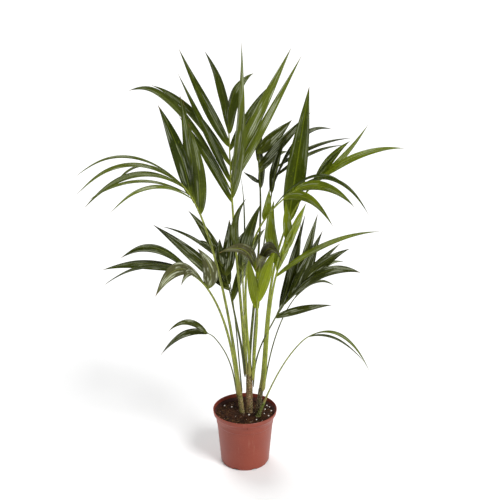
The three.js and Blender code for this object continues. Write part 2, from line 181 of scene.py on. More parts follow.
FRONDS = [
    {
        "name": "centre_frond_tall", "stem": "centre", "foot": (146, 120),
        "node": (-35, 80, 625), "end": (-45, 120, 850), "radius": (5.2, 3, 1.6), "look": "deepGreen",
        "leaflets": [
            leaf(0.03, (-180, 60, 885), (0, 0, 20), 22),
            leaf(0.15, (-324, 150, 944), (-20, 0, 190), 19),
            leaf(0.27, (-183, 110, 992), STRAIGHT, 20),
            leaf(0.49, (-265, 190, 945), (0, 0, 80), 24),
            leaf(0.72, (-180, 130, 1056), (0, 0, -20), 28),
            leaf(0.92, (-112, 180, 1042), (20, 0, 30), 27),
            leaf(0.12, (-8, 90, 1076), (20, 0, 0), 28),
            leaf(0.08, (-2, 60, 925), (20, 0, 0), 24),
            leaf(0.25, (156, 120, 1038), STRAIGHT, 24),
            leaf(0.43, (129, 160, 1054), STRAIGHT, 32),
            leaf(0.67, (80, 200, 950), (0, 0, 30), 22),
            leaf(0.88, (25, 150, 985), (-30, 0, 60), 44),
        ],
    },
    {
        "name": "left_frond_fountain", "stem": "left", "foot": "top",
        "node": (-120, -20, 625), "end": (-170, -50, 725), "radius": (5, 3, 1.6), "look": "deepGreen",
        "leaflets": [
            leaf(0.96, (-452, -40, 742), (0, 0, 130), 14, 20),
            leaf(0.88, (-443, -90, 710), (0, 0, 138), 15, 30),
            leaf(0.8, (-418, -130, 680), (0, 0, 130), 16, 30),
            leaf(0.6, (-424, -20, 670), (0, 0, 92), 12),
            leaf(0.45, (-346, -160, 680), (0, 0, 102), 11),
            leaf(0.93, (-362, 20, 692), (-20, 0, 118), 12),
            leaf(0.6, (-224, -60, 938), (16, 0, 12), 40),
            leaf(0.35, (-170, -10, 955), (10, 0, 0), 38),
            leaf(0.2, (-165, 40, 930), (10, 0, 0), 36),
            leaf(0.04, (-145, -80, 895), (22, 0, 0), 34),
        ],
    },
    {
        "name": "left_frond_low", "stem": "left", "foot": (250, 62),
        "node": (-100, -80, 430), "end": (-170, -125, 505), "radius": (4.6, 3, 1.6), "look": "oliveGreen",
        "leaflets": [
            leaf(0.95, (-375, -150, 515), (0, 0, 35), 30, 50),
            leaf(0.6, (-335, -90, 530), (0, 0, 100), 28, -20),
            leaf(0.8, (-370, -190, 485), (0, 0, 75), 22, 40),
            leaf(0.2, (-230, -230, 475), (0, 0, 120), 36, -70),
            leaf(0.5, (-165, -200, 490), (0, 0, 50), 20, -50),
            leaf(0.04, (-125, -120, 565), (40, 0, 0), 40),
        ],
    },
    {
        "name": "centre_frond_left", "stem": "centre", "foot": (192, 118),
        "node": (-33, 28, 328), "end": (-65, 60, 460), "radius": (4.2, 2.8, 1.5), "look": "darkGreen",
        "leaflets": [
            leaf(0.4, (-264, 90, 562), (0, 0, 20), 35),
            leaf(0.9, (-160, 60, 614), (10, 0, 20), 28, -35),
            leaf(0.5, (-71, 60, 530), (-20, 0, 0), 47),
            leaf(0.7, (-45, 100, 575), (10, 0, 0), 38),
            leaf(0.3, (-120, 200, 500), (0, 0, 60), 30),
            leaf(0.15, (60, 180, 520), (0, 0, 60), 30),
        ],
    },
    {
        "name": "left_frond_thin", "stem": "left", "foot": (45, 62),
        "node": (-36, 80, 332), "end": (-56, 130, 428), "radius": (2.2, 1.8, 1.2), "look": "darkGreen",
        "leaflets": [
            leaf(0.95, (-250, 170, 530), (0, 0, 44), 12),
            leaf(0.7, (-150, 240, 460), (0, 0, 60), 14),
            leaf(0.8, (20, 240, 500), (0, 0, 60), 14),
        ],
    },
    {
        "name": "centre_frond_lime", "stem": "centre", "foot": (322, 110),
        "node": (35, -110, 375), "end": (32, -145, 515), "radius": (5, 3, 1.6), "look": "limeGreen",
        "leaflets": [
            leaf(0.94, (-64, -220, 588), (35, 0, 70), 34),
            leaf(0.9, (98, -250, 572), (0, 20, 105), 34, -30),
            leaf(0.8, (30, -260, 560), (30, 20, 95), 28),
            leaf(0.25, (80, -200, 592), (0, 0, 20), 32),
            leaf(0.08, (12, -175, 560), (-6, 0, 10), 26),
        ],
    },
    {
        "name": "right_frond_bright", "stem": "right", "foot": (300, 78),
        "node": (85, -60, 455), "end": (125, -90, 580), "radius": (5, 3, 1.6), "look": "brightGreen",
        "leaflets": [
            leaf(0.04, (358, -120, 612), (0, 0, 60), 17),
            leaf(0.6, (165, -70, 675), STRAIGHT, 34, -40),
            leaf(0.9, (110, -100, 690), STRAIGHT, 26),
            leaf(0.3, (80, -60, 680), (-30, 0, 0), 34),
            leaf(0.2, (140, -110, 640), (-10, 0, 0), 38),
        ],
    },
    {
        "name": "centre_frond_glossy", "stem": "centre", "foot": (0, 82),
        "node": (85, -10, 310), "end": (150, -20, 405), "radius": (2.4, 2.4, 1.5), "look": "darkGreen",
        "leaflets": [
            leaf(0.05, (245, -60, 375), (0, 0, 15), 22),
            leaf(0.5, (314, -100, 488), (0, 0, 90), 28, 45),
            leaf(0.8, (290, -40, 535), (0, 0, 40), 32),
            leaf(0.6, (270, 20, 530), (0, 0, 20), 30, 30),
            leaf(0.7, (212, -60, 594), STRAIGHT, 33),
            leaf(0.96, (205, 40, 610), STRAIGHT, 28),
            leaf(0.3, (172, 60, 604), STRAIGHT, 28),
            leaf(0.1, (155, 0, 595), (36, 0, -24), 30),
        ],
    },
    {
        "name": "right_frond_thin", "stem": "right", "foot": (20, 70),
        "node": (110, 40, 290), "end": (175, 60, 385), "radius": (2.2, 1.8, 1.2), "look": "darkGreen",
        "leaflets": [
            leaf(0.9, (295, 120, 435), (0, 0, 60), 22),
            leaf(0.6, (265, 110, 365), (0, 0, 60), 22),
            leaf(0.95, (215, 110, 510), STRAIGHT, 22),
            leaf(0.7, (150, 170, 470), (0, 0, 40), 22),
        ],
    },
    {
        "name": "centre_frond_dark", "stem": "centre", "foot": "top",
        "node": (45, 100, 620), "end": (35, 150, 765), "radius": (4.6, 2.8, 1.5), "look": "darkGreen",
        "leaflets": [
            leaf(0.95, (135, 170, 850), STRAIGHT, 36),
            leaf(0.7, (185, 130, 880), STRAIGHT, 26),
            leaf(0.6, (125, 200, 750), (0, 0, 30), 22),
            leaf(0.4, (-5, 160, 700), STRAIGHT, 12),
            leaf(0.3, (35, 190, 800), (20, 0, 0), 26),
            leaf(0.8, (45, 220, 860), (0, 0, 20), 22),
        ],
    },
    {
        "name": "right_frond_tall", "stem": "right", "foot": "top",
        "node": (120, 30, 585), "end": (215, 50, 715), "radius": (5, 3, 1.6), "look": "brightGreen",
        "leaflets": [
            leaf(0.05, (175, 60, 965), STRAIGHT, 55),
            leaf(0.9, (344, 110, 848), (0, 0, -30), 22, -20),
            leaf(0.96, (434, 20, 803), (0, 0, 54), 21, 50),
            leaf(0.6, (272, -30, 824), (-10, 0, 20), 15, 45),
            leaf(0.85, (292, 70, 812), (-10, 0, 20), 24),
        ],
    },
    {
        "name": "centre_frond_arching", "stem": "centre", "foot": (276, 126),
        "node": (25, -45, 560), "end": (145, -110, 730), "radius": (4.2, 3, 1.6), "look": "brightGreen",
        "leaflets": [
            leaf(0.75, (230, -160, 640), (0, 0, 75), 24),
            leaf(0.93, (288, -130, 682), (0, 0, 66), 26, -60),
            leaf(0.88, (332, -80, 646), (10, 0, 132), 14, -50),
            leaf(0.5, (290, -40, 702), (0, 0, 134), 14, -40),
            leaf(0.35, (65, -140, 735), STRAIGHT, 26),
        ],
    },
    {
        "name": "centre_frond_slim", "stem": "centre", "foot": (234, 126),
        "node": (-5, -60, 460), "end": (-5, -90, 535), "radius": (3, 2.4, 1.5), "look": "oliveGreen",
        "leaflets": [
            leaf(0.95, (5, -110, 700), (-50, 0, 0), 28),
            leaf(0.3, (45, -118, 690), (-20, 0, 0), 38, -40),
            leaf(0.6, (15, -162, 540), (0, 0, 50), 30),
            leaf(0.8, (-10, -60, 750), (15, 0, 0), 12),
        ],
    },
    {
        "name": "left_frond_small", "stem": "left", "foot": (185, 45),
        "node": (-85, -60, 275), "end": (-110, -70, 295), "radius": (2.2, 1.7, 1.3), "look": "darkGreen",
        "leaflets": [
            leaf(0.9, (-212, -100, 312), (0, 0, 62), 17),
            leaf(0.8, (-238, -60, 222), (0, 0, 62), 20, 70),
        ],
    },
    {
        "name": "front_frond_small", "stem": "front", "foot": "top",
        "node": (160, -72, 268), "end": (196, -79, 296), "radius": (2.4, 2, 1.4), "look": "deepGreen",
        "leaflets": [
            leaf(0.6, (334, -110, 224), (0, 0, 62), 20, 60),
            leaf(0.9, (356, -70, 174), (10, 0, 98), 13, 60),
        ],
    },
    {
        "name": "centre_frond_narrow", "stem": "centre", "foot": (40, 112),
        "node": (75, 60, 660), "end": (100, 80, 770), "radius": (2.4, 2, 1.2), "look": "darkGreen",
        "leaflets": [
            leaf(0.05, (120, 110, 820), (-20, 0, 0), 30),
            leaf(0.2, (245, 100, 840), (-20, 0, 110), 14),
            leaf(0.7, (300, 100, 813), (0, 0, 36), 11),
            leaf(0.45, (284, 120, 788), (0, 0, 42), 11),
        ],
    },
]

# White grains on the soil, as (x, y, size).
GRAINS = [
    (-62, 45, 1),
    (-40, 34, 1.1),
    (66, 46, 1),
    (74, 38, 0.9),
    (79, 14, 1.1),
    (54, 38, 1.3),
    (60, 22, 0.9),
    (12, -14, 1.1),
    (58, -4, 0.8),
    (70, -16, 1),
    (34, -40, 0.9),
    (50, -52, 0.8),
]

# ---- Curves and small helpers ----


def mix(a, b, t):
    return a + (b - a) * t


def ease(t):
    t = min(max(t, 0.0), 1.0)
    return t * t * (3 - 2 * t)


def unit(v):
    return v / np.linalg.norm(v)


def place(p):
    """A point of the plant in the part's own frame."""
    return np.array([p[0], p[1], p[2] + SOIL_TOP], float)


def compass(degrees):
    """The level heading at an angle anticlockwise from the X axis."""
    a = math.radians(degrees)
    return np.array([math.cos(a), math.sin(a), 0.0])


def rotated(v, axis, degrees):
    """A vector turned about a unit axis."""
    a = math.radians(degrees)
    return v * math.cos(a) + np.cross(axis, v) * math.sin(a) + axis * np.dot(axis, v) * (1 - math.cos(a))


def cubic(a, b, c, d):
    """A cubic curve as a function of t that gives a point and its heading."""

    def at(t):
        u = 1 - t
        point = u**3 * a + 3 * u * u * t * b + 3 * u * t * t * c + t**3 * d
        return point, unit(u * u * (b - a) + 2 * u * t * (c - b) + t * t * (d - c))

    return at


def quadratic(a, b, c):
    """A quadratic curve, in the same form."""

    def at(t):
        u = 1 - t
        return u * u * a + 2 * u * t * b + t * t * c, unit(u * (b - a) + t * (c - b))

    return at


def bumpy(p, scale, seed=0.0):
    """Smooth noise from -1 to 1 at a point, with features about scale across."""
    return noise.noise(Vector((p[0] / scale + seed, p[1] / scale + 2.7 * seed, p[2] / scale - seed)))


# ---- Meshes ----


class Skin:
    """A closed mesh grown from rings of points, with attributes for its materials."""

    def __init__(self):
        self.points = []
        self.faces = []
        self.looks = []
        self.values = {"share": [], "across": [], "tone": []}

    def count(self):
        return sum(len(p) for p in self.points)

    def mark(self, count, share, across, tone):
        """Gives the newest points their share of the length, their place across, and their tone."""
        for name, value in (("share", share), ("across", across), ("tone", tone)):
            self.values[name].append(np.broadcast_to(np.asarray(value, float), (count,)))

    def loft(self, rings, share, across, tone, look=0):
        """Joins rings of equal length into a tube with both ends closed."""
        rings = np.asarray(rings, float)
        steps, sides = rings.shape[:2]
        base = self.count()
        self.points.append(rings.reshape(-1, 3))
        share = np.repeat(np.asarray(share, float), sides)
        across = np.tile(np.asarray(across, float), steps)
        self.mark(steps * sides, share, across, tone)
        for i in range(steps - 1):
            row = base + i * sides
            for k in range(sides):
                n = (k + 1) % sides
                self.faces.append((row + k, row + n, row + sides + n, row + sides + k))
        last = base + (steps - 1) * sides
        self.faces.append(tuple(base + k for k in reversed(range(sides))))
        self.faces.append(tuple(last + k for k in range(sides)))
        self.looks += [look] * ((steps - 1) * sides + 2)

    def lump(self, centre, radii, seed, tone, fine=False):
        """A small irregular lump."""
        base = self.count()
        points, faces = FINE_LUMP if fine else LUMP
        rough = np.array([1 + 0.35 * bumpy(p, 0.8, seed) for p in points])
        c, s = math.cos(seed * 2.1), math.sin(seed * 2.1)
        turn = np.array([[c, -s, 0], [s, c, 0], [0, 0, 1]])
        shape = (points * rough[:, None] * np.asarray(radii)) @ turn.T
        self.points.append(shape + centre)
        self.faces += [tuple(base + i for i in f) for f in faces]
        self.looks += [0] * len(faces)
        self.mark(len(points), 0.5, 0.0, tone)

    def build(self, name, materials, smooth):
        """The mesh as an object, with edges sharper than smooth degrees kept sharp."""
        mesh = bpy.data.meshes.new(name)
        points = np.concatenate(self.points) * MM
        mesh.from_pydata(points.tolist(), [], self.faces)
        mesh.update()
        for key, parts in self.values.items():
            attribute = mesh.attributes.new(key, "FLOAT", "POINT")
            attribute.data.foreach_set("value", np.concatenate(parts).astype(np.float32))
        for material in materials:
            mesh.materials.append(material)
        mesh.polygons.foreach_set("material_index", self.looks)
        return finished(mesh, name, smooth)


def finished(mesh, name, smooth):
    """The mesh with its faces turned out and shaded smooth, as an object."""
    work = bmesh.new()
    work.from_mesh(mesh)
    bmesh.ops.recalc_face_normals(work, faces=work.faces)
    work.to_mesh(mesh)
    work.free()
    mesh.polygons.foreach_set("use_smooth", [True] * len(mesh.polygons))
    mesh.set_sharp_from_angle(angle=math.radians(smooth))
    obj = bpy.data.objects.new(name, mesh)
    bpy.context.scene.collection.objects.link(obj)
    return obj


def ball(detail):
    """The points and faces of a small sphere of triangles."""
    work = bmesh.new()
    bmesh.ops.create_icosphere(work, subdivisions=detail, radius=1)
    points = np.array([v.co[:] for v in work.verts])
    faces = [tuple(v.index for v in f.verts) for f in work.faces]
    work.free()
    return points, faces


LUMP = ball(1)
FINE_LUMP = ball(2)


def stand(obj, slot, *nodes):
    """Ties a piece to the body and hides the CAD nodes that it stands in for. The slot is not used."""
    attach(obj, BODY)
    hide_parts(*nodes)


# ---- Materials ----


def linear(level):
    """One sRGB level from 0 to 255 as linear light."""
    return ((level / 255 + 0.055) / 1.055) ** 2.4 if level > 10 else level / 255 / 12.92


def colour(r, g, b):
    return (linear(r), linear(g), linear(b), 1.0)


BLACK = (0.0, 0.0, 0.0, 1.0)


class Shader:
    """Short names for the nodes of one procedural material."""

    def __init__(self, name):
        self.material = bpy.data.materials.new(name)
        self.material.use_nodes = True
        self.tree = self.material.node_tree
        self.tree.nodes.clear()
        self.out = self.tree.nodes.new("ShaderNodeOutputMaterial")

    def node(self, kind, **settings):
        made = self.tree.nodes.new("ShaderNode" + kind)
        for key, value in settings.items():
            setattr(made, key, value)
        return made

    def put(self, socket, value):
        """Sets a socket to a number or colour, or links it to another socket."""
        if isinstance(value, bpy.types.NodeSocket):
            self.tree.links.new(value, socket)
        elif value is not None:
            socket.default_value = value

    def attribute(self, name):
        return self.node("Attribute", attribute_name=name).outputs["Fac"]

    def place(self, scale=(1, 1, 1)):
        """The object's own coordinates, scaled."""
        coords = self.node("TexCoord").outputs["Object"]
        mapping = self.node("Mapping")
        mapping.inputs["Scale"].default_value = scale
        self.put(mapping.inputs["Vector"], coords)
        return mapping.outputs["Vector"]

    def noise(self, scale, detail=3.0, rough=0.55, vector=None):
        made = self.node("TexNoise")
        self.put(made.inputs["Vector"], vector if vector is not None else self.place())
        made.inputs["Scale"].default_value = scale
        made.inputs["Detail"].default_value = detail
        made.inputs["Roughness"].default_value = rough
        return made.outputs["Fac"]

    def math(self, operation, a, b=None, c=None):
        made = self.node("Math", operation=operation)
        for socket, value in zip(made.inputs, (a, b, c)):
            self.put(socket, value)
        return made.outputs[0]

    def span(self, value, low, high, start=0.0, end=1.0):
        """Runs smoothly from start to end while the value runs from low to high."""
        made = self.node("MapRange", clamp=True, interpolation_type="SMOOTHSTEP")
        names = ("Value", "From Min", "From Max", "To Min", "To Max")
        for name, item in zip(names, (value, low, high, start, end)):
            self.put(made.inputs[name], item)
        return made.outputs["Result"]

    def blend(self, factor, a, b):
        """A colour between a and b."""
        made = self.node("Mix", data_type="RGBA")
        first, second = [socket for socket in made.inputs if socket.type == "RGBA"]
        self.put(made.inputs["Factor"], factor)
        self.put(first, a)
        self.put(second, b)
        return [socket for socket in made.outputs if socket.type == "RGBA"][0]

    def bump(self, height, strength, distance, normal=None):
        made = self.node("Bump")
        made.inputs["Strength"].default_value = strength
        made.inputs["Distance"].default_value = distance
        self.put(made.inputs["Height"], height)
        self.put(made.inputs["Normal"], normal)
        return made.outputs["Normal"]

    def principled(self, base, roughness, normal, specular, tint=(1.0, 1.0, 1.0, 1.0)):
        made = self.node("BsdfPrincipled")
        made.inputs["Specular Tint"].default_value = tint
        self.put(made.inputs["Base Color"], base)
        self.put(made.inputs["Roughness"], roughness)
        self.put(made.inputs["Normal"], normal)
        made.inputs["Specular IOR Level"].default_value = specular
        return made.outputs["BSDF"]

    def finish(self, surface):
        self.put(self.out.inputs["Surface"], surface)
        return self.material


def leaf_material(slot, dark, light, glow, hood, through, painted_sheen):
    """A thin ribbed blade with a pale midrib and a dry tip, which lets some light through.

    A leaflet's tone takes it from dark to light, and glow is its youngest green. Tones over 1.2 turn it to
    the hood's colour. through is the share of light that passes the blade, and the last argument sets the
    strength of its painted sheen: pale highlight streaks painted onto its colour, stronger at higher tones.
    """
    s = Shader(slot)
    share = s.attribute("share")
    across = s.attribute("across")
    tone = s.attribute("tone")
    drift = s.noise(14, 3)
    body = s.blend(s.span(s.math("MULTIPLY_ADD", drift, 0.7, tone), 0.35, 1.35), dark, light)
    shaded = s.math("MULTIPLY", s.span(tone, 1.2, 1.8), s.span(share, 0.03, 0.2))
    body = s.blend(shaded, body, s.blend(s.math("MULTIPLY", drift, 0.5), hood, colour(84, 88, 40)))

    # Fine veins over wide pleats, a pale foot and midrib, and small flecks.
    vein = s.math("SINE", s.math("MULTIPLY", across, 46.0))
    wide = s.math("SINE", s.math("MULTIPLY_ADD", across, 17.0, s.math("MULTIPLY", drift, 2.0)))
    ribs = s.math("MULTIPLY_ADD", wide, 0.6, s.math("MULTIPLY", vein, 0.4))
    body = s.blend(s.span(ribs, -0.9, 0.9, 0.24, 0.0), body, BLACK)
    body = s.blend(s.span(share, 0.0, 0.12, 0.4, 0.0), body, glow)
    body = s.blend(s.span(s.math("ABSOLUTE", across), 0.02, 0.09, 0.3, 0.0), body, glow)
    body = s.blend(s.span(s.noise(160, 2), 0.62, 0.72, 0.0, 0.22), body, glow)

    # Painted sheen: long pale highlight streaks painted beside the midrib, stronger on the paler leaflets.
    along = s.node("CombineXYZ")
    for axis, (value, scale) in enumerate(((across, 1.7), (share, 3.4), (tone, 31.0))):
        s.put(along.inputs[axis], s.math("MULTIPLY", value, scale))
    patch = s.span(s.noise(1.0, 2, 0.5, along.outputs[0]), 0.5, 0.6)
    streak = s.span(s.math("MULTIPLY_ADD", s.noise(120, 2), 0.5, ribs), -0.2, 0.9, 0.12, 1.0)
    fade = s.math("MULTIPLY", s.span(share, 0.88, 0.98, 1.0, 0.0), s.span(share, 0.02, 0.16))
    strength = s.math("MULTIPLY", s.math("MULTIPLY", fade, painted_sheen), s.span(tone, 0.45, 1.0, 0.4, 1.0))
    painted_highlight_mask = s.math("MULTIPLY", s.math("MULTIPLY", patch, streak), strength)
    # The pale colour mixed in here is the painted sheen.
    body = s.blend(painted_highlight_mask, body, colour(214, 220, 190))

    dry = s.math("ADD", share, s.math("MULTIPLY", s.noise(60, 2), 0.06))
    body = s.blend(s.span(dry, 0.965, 1.03, 0.0, 0.85), body, colour(132, 104, 58))
    rough = s.span(s.noise(50, 3), 0.3, 0.7, 0.24, 0.38)
    normal = s.bump(s.noise(90, 3), 0.12, 0.0008, s.bump(ribs, 0.35, 0.0006))
    shiny = s.principled(body, rough, normal, 0.24, (0.9, 1.0, 0.5, 1.0))
    lit = s.node("BsdfTranslucent")
    s.put(lit.inputs["Color"], s.blend(0.6, body, glow))
    both = s.node("MixShader")
    s.put(both.inputs[0], s.math("MULTIPLY", s.span(shaded, 0.0, 1.0, 1.0, 0.2), through))
    s.put(both.inputs[1], shiny)
    s.put(both.inputs[2], lit.outputs[0])
    return s.finish(both.outputs[0])


def stalk_material(name, dark, light, sheath):
    """A ribbed green stalk, paler and browner where it sheathes the trunk."""
    s = Shader(name)
    share = s.attribute("share")
    streaks = s.noise(1.0, 4, 0.6, s.place((420, 420, 16)))
    body = s.blend(s.span(streaks, 0.3, 0.7), dark, light)
    low = s.math("ADD", share, s.math("MULTIPLY", s.noise(45, 3), 0.08))
    body = s.blend(s.span(low, 0.03, 0.17, 0.8, 0.0), body, sheath)
    scurf = s.span(s.noise(330, 3), 0.6, 0.72, 0.0, 0.35)
    body = s.blend(scurf, body, colour(176, 186, 120))
    normal = s.bump(streaks, 0.3, 0.0005)
    return s.finish(s.principled(body, s.span(streaks, 0.2, 0.8, 0.36, 0.52), normal, 0.45))


def stem_material(name, dark, light, green):
    """A ringed trunk: streaked bark, dark scars, a green tinge towards the crown."""
    s = Shader(name)
    scar = s.attribute("tone")
    share = s.attribute("share")
    streaks = s.noise(1.0, 5, 0.65, s.place((300, 300, 50)))
    body = s.blend(s.span(streaks, 0.32, 0.68), dark, light)
    patch = s.span(s.noise(70, 4), 0.42, 0.62, 0.0, 0.6)
    body = s.blend(patch, body, green)
    body = s.blend(s.span(share, 0.55, 1.0, 0.0, 0.45), body, green)
    body = s.blend(s.math("MULTIPLY", scar, 0.75), body, colour(48, 34, 24))
    speck = s.span(s.noise(330, 2), 0.58, 0.66, 0.0, 0.75)
    body = s.blend(speck, body, colour(206, 192, 158))
    stain = s.span(s.noise(200, 3), 0.55, 0.66, 0.0, 0.75)
    body = s.blend(stain, body, colour(40, 28, 20))
    rough = s.span(streaks, 0.2, 0.8, 0.62, 0.85)
    normal = s.bump(streaks, 0.55, 0.0008)
    return s.finish(s.principled(body, rough, normal, 0.3))


def pot_material():
    """Satin terracotta-coloured plastic with faint moulding haze, and soil stain and painted shade inside."""
    s = Shader("terracotta_plastic")
    haze = s.noise(9, 4)
    fine = s.noise(420, 3)
    body = s.blend(s.span(haze, 0.3, 0.7), colour(138, 59, 42), colour(150, 69, 50))
    body = s.blend(s.span(fine, 0.45, 0.75, 0.0, 0.14), body, colour(176, 114, 94))
    # Inside below the rim the colour turns dark brown: partly soil stain, partly painted shade.
    stain = s.math("MULTIPLY", s.attribute("tone"), s.span(s.noise(60, 4), 0.25, 0.6, 0.7, 0.98))
    body = s.blend(stain, body, colour(48, 24, 18))
    scuff = s.noise(1.0, 5, 0.7, s.place((70, 70, 9)))
    body = s.blend(s.span(scuff, 0.58, 0.72, 0.0, 0.16), body, colour(196, 146, 126))
    rough = s.math("ADD", s.span(haze, 0.3, 0.7, 0.36, 0.46), s.span(scuff, 0.55, 0.75, 0.0, 0.1))
    rough = s.math("MULTIPLY_ADD", stain, 0.4, rough)
    normal = s.bump(fine, 0.12, 0.0004)
    return s.finish(s.principled(body, rough, normal, 0.36))


def soil_material():
    """Dark moist potting mix with lighter fibres and a few pale specks."""
    s = Shader("soil")
    tone = s.attribute("tone")
    grit = s.noise(260, 5, 0.7)
    clump = s.noise(45, 4)
    body = s.blend(s.span(clump, 0.35, 0.65), colour(28, 13, 6), colour(58, 32, 16))
    body = s.blend(s.span(grit, 0.5, 0.72, 0.0, 0.6), body, colour(88, 62, 38))
    body = s.blend(s.span(tone, 0.3, 0.7, 0.0, 0.55), body, colour(110, 84, 50))
    body = s.blend(s.span(tone, 0.9, 0.97, 0.0, 0.95), body, colour(214, 200, 184))
    normal = s.bump(grit, 0.8, 0.0014)
    return s.finish(s.principled(body, s.span(grit, 0.3, 0.7, 0.72, 0.96), normal, 0.12))


def grain_material():
    """Chalky white, with fine pores."""
    s = Shader("grain")
    pores = s.noise(700, 4, 0.7)
    body = s.blend(s.span(pores, 0.35, 0.65), colour(206, 194, 180), colour(244, 240, 232))
    return s.finish(s.principled(body, 0.88, s.bump(pores, 0.6, 0.0006), 0.25))


def dry_material():
    """The papery brown sheath at the top of the middle trunk."""
    s = Shader("dry_sheath")
    streaks = s.noise(1.0, 4, 0.6, s.place((500, 500, 22)))
    body = s.blend(s.span(streaks, 0.3, 0.7), colour(74, 46, 30), colour(132, 92, 58))
    return s.finish(s.principled(body, 0.7, s.bump(streaks, 0.5, 0.0006), 0.3))


# Lime and bright looks partly paint light shining through the fronds, and the dark look partly paints shade.
HOOD = colour(88, 86, 58)
LIME_HOOD = colour(80, 75, 52)
# The sheen of each look is the strength of its painted sheen streaks.
LEAF_LOOKS = {
    "deepGreen": {
        "slot": "leaf_deep", "stalk": "green", "hood": HOOD, "through": 0.22, "painted_sheen": 0.85,
        "dark": colour(38, 50, 0), "light": colour(114, 126, 44), "glow": colour(150, 164, 40),
    },
    "darkGreen": {
        "slot": "leaf_dark", "stalk": "dark", "hood": HOOD, "through": 0.12, "painted_sheen": 1.3,
        "dark": colour(28, 34, 0), "light": colour(78, 86, 24), "glow": colour(120, 130, 40),
    },
    "oliveGreen": {
        "slot": "leaf_olive", "stalk": "green", "hood": HOOD, "through": 0.2, "painted_sheen": 0.8,
        "dark": colour(44, 54, 0), "light": colour(100, 110, 36), "glow": colour(148, 158, 60),
    },
    "limeGreen": {
        "slot": "leaf_lime", "stalk": "bright", "hood": LIME_HOOD, "through": 0.38, "painted_sheen": 0.2,
        "dark": colour(96, 108, 0), "light": colour(164, 178, 30), "glow": colour(190, 206, 40),
    },
    "brightGreen": {
        "slot": "leaf_bright", "stalk": "bright", "hood": HOOD, "through": 0.32, "painted_sheen": 0.7,
        "dark": colour(52, 64, 0), "light": colour(150, 164, 38), "glow": colour(176, 194, 40),
    },
}
LEAVES = {
    name: leaf_material(**{key: value for key, value in look.items() if key != "stalk"})
    for name, look in LEAF_LOOKS.items()
}
STALKS = {
    "green": stalk_material("stalk_green", colour(76, 86, 8), colour(168, 176, 70), colour(140, 122, 66)),
    "dark": stalk_material("stalk_dark", colour(48, 56, 10), colour(104, 112, 42), colour(96, 84, 48)),
    "bright": stalk_material("stalk_bright", colour(98, 110, 8), colour(164, 174, 58), colour(144, 132, 70)),
}
TRUNKS = {
    "pale_stem": stem_material("pale_stem", colour(112, 88, 50), colour(178, 160, 104), colour(124, 134, 56)),
    "tan_stem": stem_material("tan_stem", colour(88, 62, 36), colour(168, 134, 94), colour(116, 110, 56)),
    "dark_stem": stem_material("dark_stem", colour(66, 50, 34), colour(118, 96, 66), colour(96, 100, 56)),
    "green_stem": stem_material("green_stem", colour(58, 56, 20), colour(132, 142, 60), colour(96, 112, 30)),
}

# ---- The pot ----

COLLAR_FOOT = POT_HEIGHT - COLLAR_DEPTH
BAND_FOOT = POT_HEIGHT - BAND_HEIGHT
COLLAR_RADIUS = POT_RIM - COLLAR_INSET
BAND_RADIUS = POT_RIM - BAND_TAPER


def collar_point(out, up):
    """A point of the collar at its shares of the way out and up to the band."""
    return mix(COLLAR_RADIUS, BAND_RADIUS, out), mix(COLLAR_FOOT, BAND_FOOT, up)


OUTLINE = [
    (POT_FOOT - FOOT_BEVEL, 0),
    (POT_FOOT, FOOT_BEVEL_HEIGHT),
    (COLLAR_RADIUS - COLLAR_STEP, COLLAR_FOOT - COLLAR_STEP),
    (COLLAR_RADIUS, COLLAR_FOOT),
    collar_point(*COLLAR_LOW_BEND),
    collar_point(*COLLAR_HIGH_BEND),
    (BAND_RADIUS, BAND_FOOT),
    (POT_RIM, POT_HEIGHT - LIP),
    (POT_RIM - LIP, POT_HEIGHT),
]


def outer_radius(z):
    """The pot's outer radius at a height."""
    for (low_r, low), (high_r, high) in zip(OUTLINE, OUTLINE[1:]):
        if z <= high:
            return mix(low_r, high_r, (z - low) / (high - low))
    return OUTLINE[-1][0]


def rounded(profile, radius, steps=4):
    """A profile with its inner corners turned into small curves."""
    profile = [np.array(p, float) for p in profile]
    made = [profile[0]]
    for before, corner, after in zip(profile, profile[1:], profile[2:]):
        back = before - corner
        on = after - corner
        reach = min(radius, 0.4 * np.linalg.norm(back), 0.4 * np.linalg.norm(on))
        a = corner + unit(back) * reach
        b = corner + unit(on) * reach
        for i in range(steps + 1):
            t = i / steps
            made.append((1 - t) ** 2 * a + 2 * (1 - t) * t * corner + t * t * b)
    made.append(profile[-1])
    return made


def revolve(profile, sides):
    """Rings round the Z axis for a list of (radius, height)."""
    angles = np.linspace(0, 2 * math.pi, sides, endpoint=False)
    return [np.stack([r * np.cos(angles), r * np.sin(angles), 0 * angles + z], axis=1) for r, z in profile]


def drain_blocks():
    """Blocks that notch the foot of the pot all round, as one mesh."""
    work = bmesh.new()
    for i in range(DRAIN_COUNT):
        turn = 360 / DRAIN_COUNT * (i + 0.5)
        corners = []
        for a, b, c in itertools.product((-1, 1), repeat=3):
            at = compass(turn) * (POT_FOOT + a * DRAIN_REACH) + compass(turn + 90) * (b * DRAIN_WIDTH / 2)
            corners.append(work.verts.new((at[0] * MM, at[1] * MM, c * DRAIN_HEIGHT * MM)))
        for face in ((0, 1, 3, 2), (4, 6, 7, 5), (0, 4, 5, 1), (2, 3, 7, 6), (0, 2, 6, 4), (1, 5, 7, 3)):
            work.faces.new([corners[k] for k in face])
    bmesh.ops.recalc_face_normals(work, faces=work.faces)
    blocks = bpy.data.meshes.new("drain_blocks")
    work.to_mesh(blocks)
    work.free()
    return blocks


